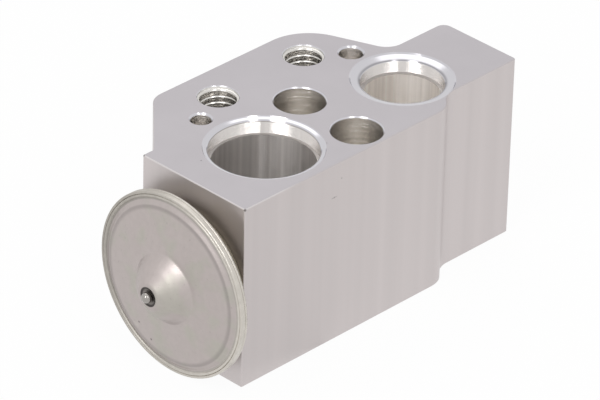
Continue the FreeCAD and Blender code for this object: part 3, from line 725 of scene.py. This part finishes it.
def capsule_finish(name, looks, sheet_colour):
    """Looks of a cover: clouded sheet, straw-coloured weld with painted shade towards the wing's side,
    painted shade in the crease under the bead, at the lip and in the charging hole, and small marks.
    """
    finish = Finish(name, sheet_colour, looks.roughness)
    radius = finish.about_x()
    inset = CAPSULE_RADIUS - radius
    rim = inset.fall(*WELD_END)
    cloud = finish.noise(size=4.0, detail=3.0)
    blotch = finish.noise(size=0.9, detail=3.0)
    specks = finish.noise(size=0.35, detail=3.0).rise(*SPECKS_SHOW)
    # A ramp towards the +Y side of the cover, which paints shade on the weld there and makes the rim duller
    heat = finish.y.rise(-CAPSULE_RADIUS, CAPSULE_RADIUS)

    sheet = finish.blend(cloud.rise(*STAINS_SHOW), sheet_colour, looks.stain_colour)
    sheet = finish.shade(sheet, blotch.between(0.94, 1.06) - specks * SPECK_SHADE)
    # Painted shade: the weld darkens towards its +Y side
    weld = finish.shade(looks.weld_colour, blotch.between(0.97, 1.27) - heat * RIM_SIDE_PAINTED_SHADE)
    # Painted shade in the crease under the bead and at the lip
    crease_painted_shade = inset.band(*BEAD_CREASE) * BEAD_PAINTED_SHADE + inset.band(*LIP_CREASE) * LIP_PAINTED_SHADE
    colour = finish.shade(finish.blend(rim, sheet, weld), 1 - crease_painted_shade)

    smudge = finish.about_x(SMUDGE_Y, SMUDGE_Z).fall(*SMUDGE_RADII) * blotch.rise(*SMUDGE_SHOWS)
    colour = finish.blend(smudge * SMUDGE_STRENGTH, colour, SMUDGE_COLOUR)
    # Painted shade in the charging hole round the plug
    charge_painted_shade = CHARGE_PAINTED_SHADE + radius.rise(*CHARGE_EDGE) * CHARGE_EDGE_PAINTED_SHADE
    colour = finish.shade(colour, 1 - radius.fall(*CHARGE_HOLE) * charge_painted_shade)
    marks = largest(finish.about_x(y, z).disc(size) for y, z, size in CAPSULE_MARKS)
    finish.set("Base Color", finish.blend(marks * CAPSULE_MARK_STRENGTH, colour, MARK_COLOUR))

    dullness = cloud * CLOUD_ROUGHNESS + radius.fall(*HILL) * HILL_ROUGHNESS
    finish.set("Roughness", looks.roughness + dullness + rim * heat.between(*HEAT_ROUGHNESS))
    finish.emboss(cloud * CLOUD_HEIGHT + blotch * BLOTCH_HEIGHT)
    return finish


class VALVE_OT_capsule(bpy.types.Operator):
    """Gives the capsule its pressed, welded stainless sheet"""

    bl_idname = "valve.capsule"
    bl_label = "Finish the capsule"

    def execute(self, context):
        looks = context.scene.valve_capsule_looks
        dress("capsule_outer_cover", capsule_finish("pressed_stainless", looks, looks.cover_colour))
        # Painted shade: the inner cover gets the darker copy of the stainless
        dress("capsule_inner_cover", capsule_finish("inner_stainless", looks, looks.inner_shaded_colour))
        pin = Finish("bright_pin_steel", PIN_COLOUR, roughness=0.16)
        pin.emboss(pin.noise(size=0.2) * PIN_GRAIN_HEIGHT)
        dress("charge_plug", pin)
        return {"FINISHED"}


# Turned pieces and springs


ALUMINIUM_COLOUR = (0.62, 0.61, 0.60)
BRASS_COLOUR = (0.60, 0.42, 0.19)
STEEL_COLOUR = (0.45, 0.44, 0.43)
STRIP_COLOUR = (0.50, 0.49, 0.47)
TURNED_ROUGHNESS = 0.3
GROUND_ROUGHNESS = 0.22
TURNED_GROOVE_HEIGHT = 0.02

# Finishes of the turned and stamped pieces: name, colour, roughness and the pieces that have it
TURNED_FINISHES = [
    ("turned_aluminium", ALUMINIUM_COLOUR, TURNED_ROUGHNESS, ("sensing_rod", "adjusting_screw")),
    ("turned_brass", BRASS_COLOUR, TURNED_ROUGHNESS, ("stop_plate", "ball_carrier")),
    ("ground_steel", STEEL_COLOUR, GROUND_ROUGHNESS,
     ("push_pin", "valve_ball", "orifice_seat", "rod_seal_washer", "capsule_neck")),
    ("spring_strip", STRIP_COLOUR, TURNED_ROUGHNESS,
     ("diaphragm", "rod_seal_retainer", "damping_spring")),
]


def turned_finish(name, colour, roughness):
    """Turned metal: fine grooves round the valve's axis."""
    finish = Finish(name, colour, roughness)
    grooves = finish.noise(size=0.12, stretch=(1, 80, 80))
    finish.set("Base Color", finish.shade(colour, grooves.between(0.95, 1.05)))
    finish.emboss(grooves * TURNED_GROOVE_HEIGHT)
    return finish


class VALVE_OT_train(bpy.types.Operator):
    """Finishes the rod, pin, ball and the other pieces of the valve train"""

    bl_idname = "valve.train"
    bl_label = "Finish the valve train"

    def execute(self, context):
        for name, colour, roughness, nodes in TURNED_FINISHES:
            finish = turned_finish(name, colour, roughness)
            for node in nodes:
                dress(node, finish)
        return {"FINISHED"}


# Round section of the spring's wire, in wire radii
WIRE_SECTION = [
    (math.cos(math.radians(angle)), math.sin(math.radians(angle)))
    for angle in range(0, 360, 20)
]


def coil_place(turn, settings):
    """Place along X of the wire's middle at a turn."""
    length = SPRING_HIGH.x - SPRING_LOW.x
    return SPRING_LOW.x + settings.wire_radius / 2 + (length - settings.wire_radius) * turn / settings.turns


def spring_coil(first, last, settings):
    """The valve spring's wire from one of its turns to another, ground flat at the spring's two ends."""
    wire = settings.wire_radius
    mean_radius = SPRING_HIGH.y - wire
    mesh = bmesh.new()

    def wire_place(step, outward, along):
        turn = first + step / settings.steps
        angle = math.tau * turn
        reach = mean_radius + outward * wire
        x = coil_place(turn, settings) + along * wire
        x = min(max(x, SPRING_LOW.x), SPRING_HIGH.x)
        return Vector((x, reach * math.sin(angle), AXIS_Z - reach * math.cos(angle)))

    sweep(mesh, wire_place, round((last - first) * settings.steps), WIRE_SECTION, closed=False)
    return mesh


class VALVE_OT_spring(bpy.types.Operator):
    """Winds the valve spring in two lengths between the ball's carrier and the screw"""

    bl_idname = "valve.spring"
    bl_label = "Wind the spring"

    def execute(self, context):
        settings = context.scene.valve_spring_wire
        wire = settings.wire_radius
        finish = turned_finish("spring_steel", STEEL_COLOUR, GROUND_ROUGHNESS)
        join = round(settings.train_turns * settings.steps) / settings.steps
        middle = coil_place(join, settings)
        # Name, first and last turn, bodies at the two ends, and where the giving part starts and ends
        lengths = [
            ("spring_carrier_turns", 0, join, "valve_train", "housing", SPRING_LOW.x, middle - wire),
            ("spring_screw_turns", join, settings.turns, "housing", "adjuster_carriage",
             middle + wire, SPRING_HIGH.x),
        ]
        for name, first, last, near, far, low, high in lengths:
            coil = show(name, spring_coil(first, last, settings), finish)
            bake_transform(coil)
            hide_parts("valve_spring")
        return {"FINISHED"}


# Seals


RUBBER_COLOUR = (0.02, 0.02, 0.02)
RUBBER_GRAIN_HEIGHT = 0.01
GASKET_COLOUR = (0.26, 0.23, 0.17)
GASKET_FLOW_HEIGHT = 0.02


class VALVE_OT_seals(bpy.types.Operator):
    """Gives the O-rings a black rubber finish, and the capsule's gasket a brown one"""

    bl_idname = "valve.seals"
    bl_label = "Finish the seals"

    def execute(self, context):
        black = Finish("seal_rubber", RUBBER_COLOUR, roughness=0.55, metallic=0.0)
        grain = black.noise(size=0.15, detail=3.0)
        black.set("Roughness", grain.between(0.5, 0.65))
        black.emboss(grain * RUBBER_GRAIN_HEIGHT)
        for node in ("rod_seal", "adjuster_o_ring"):
            dress(node, black)
        brown = Finish("gasket_rubber", GASKET_COLOUR, roughness=0.7, metallic=0.0)
        flow = brown.noise(size=0.12, stretch=(1, 5, 5), detail=3.0)
        brown.set("Base Color", brown.shade(GASKET_COLOUR, flow.between(0.8, 1.2)))
        brown.emboss(flow * GASKET_FLOW_HEIGHT)
        dress("capsule_gasket", brown)
        return {"FINISHED"}


# The studio


WHITE = (1.0, 1.0, 1.0)
GROUND_REACH = 3.0
# Share of the ground that shows as plain white, where the rest shows its light and shadow
GROUND_GLOW = 0.95
SENSOR_WIDTH = 36.0
CLIP_START = 0.01
CLIP_END = 20.0
LAMP_DISTANCE = 0.9
# Name, azimuth and elevation in degrees, width and height in metres, and power in watts
LAMPS = [
    ("left_lamp", -80, 42, 0.30, 0.64, 2.1),
    ("right_lamp", -18, 44, 0.16, 0.50, 1.1),
    ("back_lamp", 150, 60, 0.6, 0.6, 1.0),
]


def sight(azimuth, elevation):
    """Direction from the valve to a camera or lamp at these angles."""
    flat = math.cos(elevation)
    return Vector((math.sin(azimuth) * flat, -math.cos(azimuth) * flat, math.sin(elevation)))


def make_lamp(name, azimuth, elevation, width, height, power):
    """Soft box that shines at the valve."""
    data = bpy.data.lights.new(name, "AREA")
    data.shape = "RECTANGLE"
    data.size = width
    data.size_y = height
    data.energy = power
    lamp = add_object(name, data)
    away = sight(math.radians(azimuth), math.radians(elevation))
    lamp.location = away * LAMP_DISTANCE
    lamp.rotation_euler = away.to_track_quat("Z", "Y").to_euler()


def make_ground(studio):
    """Wide floor with the valve's faint shadow, almost plain white to the camera."""
    finish = Finish("studio_ground", studio.ground_colour, roughness=0.9, metallic=0.0)
    glow = finish.node("ShaderNodeEmission", None, {"Color": WHITE, "Strength": 1.0})
    lit = Level(finish, finish.shader.outputs["BSDF"])
    mixed = finish.node("ShaderNodeMixShader", None, {0: finish.seen() * GROUND_GLOW, 1: lit, 2: glow})
    finish.end(mixed, "Material Output")
    mesh = bmesh.new()
    bmesh.ops.create_grid(mesh, x_segments=1, y_segments=1, size=GROUND_REACH)
    ground = add_mesh("studio_ground", mesh, finish)


def make_sky(studio):
    """Even light from all round, and plain white wherever the background is seen."""
    world = bpy.data.worlds.new("studio_sky")
    world.use_nodes = True
    bpy.context.scene.world = world
    sky = Nodes(world.node_tree)
    light = sky.node("ShaderNodeBackground", None, {"Color": WHITE, "Strength": studio.sky_strength})
    white = sky.node("ShaderNodeBackground", None, {"Color": WHITE, "Strength": 1.0})
    mixed = sky.node("ShaderNodeMixShader", None, {0: sky.seen(), 1: light, 2: white})
    sky.end(mixed, "World Output")


def make_camera(studio):
    """Camera with the photo's view."""
    data = bpy.data.cameras.new("studio_camera")
    data.sensor_width = SENSOR_WIDTH
    data.lens = studio.lens
    data.clip_start = CLIP_START
    data.clip_end = CLIP_END
    camera = add_object("studio_camera", data)
    away = sight(studio.azimuth, studio.elevation)
    turn = away.to_track_quat("Z", "Y").to_matrix() @ Matrix.Rotation(studio.roll, 3, "Z")
    camera.location = Vector(studio.aim) + away * studio.distance
    camera.rotation_euler = turn.to_euler()
    bpy.context.scene.camera = camera


class VALVE_OT_studio(bpy.types.Operator):
    """Sets up the ground, the sky, the lamps and the camera"""

    bl_idname = "valve.studio"
    bl_label = "Set up the studio"

    def execute(self, context):
        studio = context.scene.valve_studio
        context.scene.view_settings.view_transform = "Standard"
        make_ground(studio)
        make_sky(studio)
        for lamp in LAMPS:
            make_lamp(*lamp)
        make_camera(studio)
        return {"FINISHED"}


OPERATORS = [
    VALVE_OT_block, VALVE_OT_threads, VALVE_OT_capsule, VALVE_OT_train, VALVE_OT_spring, VALVE_OT_seals,
    VALVE_OT_studio,
]


class VALVE_PT_panel(bpy.types.Panel):
    """Lists the valve's finishes and its studio"""

    bl_idname = "VALVE_PT_panel"
    bl_label = "Expansion valve"
    bl_space_type = "VIEW_3D"
    bl_region_type = "UI"
    bl_category = "Valve"

    def draw(self, context):
        for operator in OPERATORS:
            self.layout.operator(operator.bl_idname)
        for name, settings in SETTINGS.items():
            self.layout.label(text=settings.__doc__)
            for key in settings.__annotations__:
                self.layout.prop(getattr(context.scene, name), key)


def register():
    for name, settings in SETTINGS.items():
        bpy.utils.register_class(settings)
        setattr(bpy.types.Scene, name, bpy.props.PointerProperty(type=settings))
    for kind in OPERATORS + [VALVE_PT_panel]:
        bpy.utils.register_class(kind)


def unregister():
    for kind in reversed(OPERATORS + [VALVE_PT_panel]):
        bpy.utils.unregister_class(kind)
    for name, settings in SETTINGS.items():
        delattr(bpy.types.Scene, name)
        bpy.utils.unregister_class(settings)


def main():
    register()
    bpy.ops.valve.block()
    bpy.ops.valve.threads()
    bpy.ops.valve.capsule()
    bpy.ops.valve.train()
    bpy.ops.valve.spring()
    bpy.ops.valve.seals()
    bpy.ops.valve.studio()


if __name__ == "__main__":
    main()
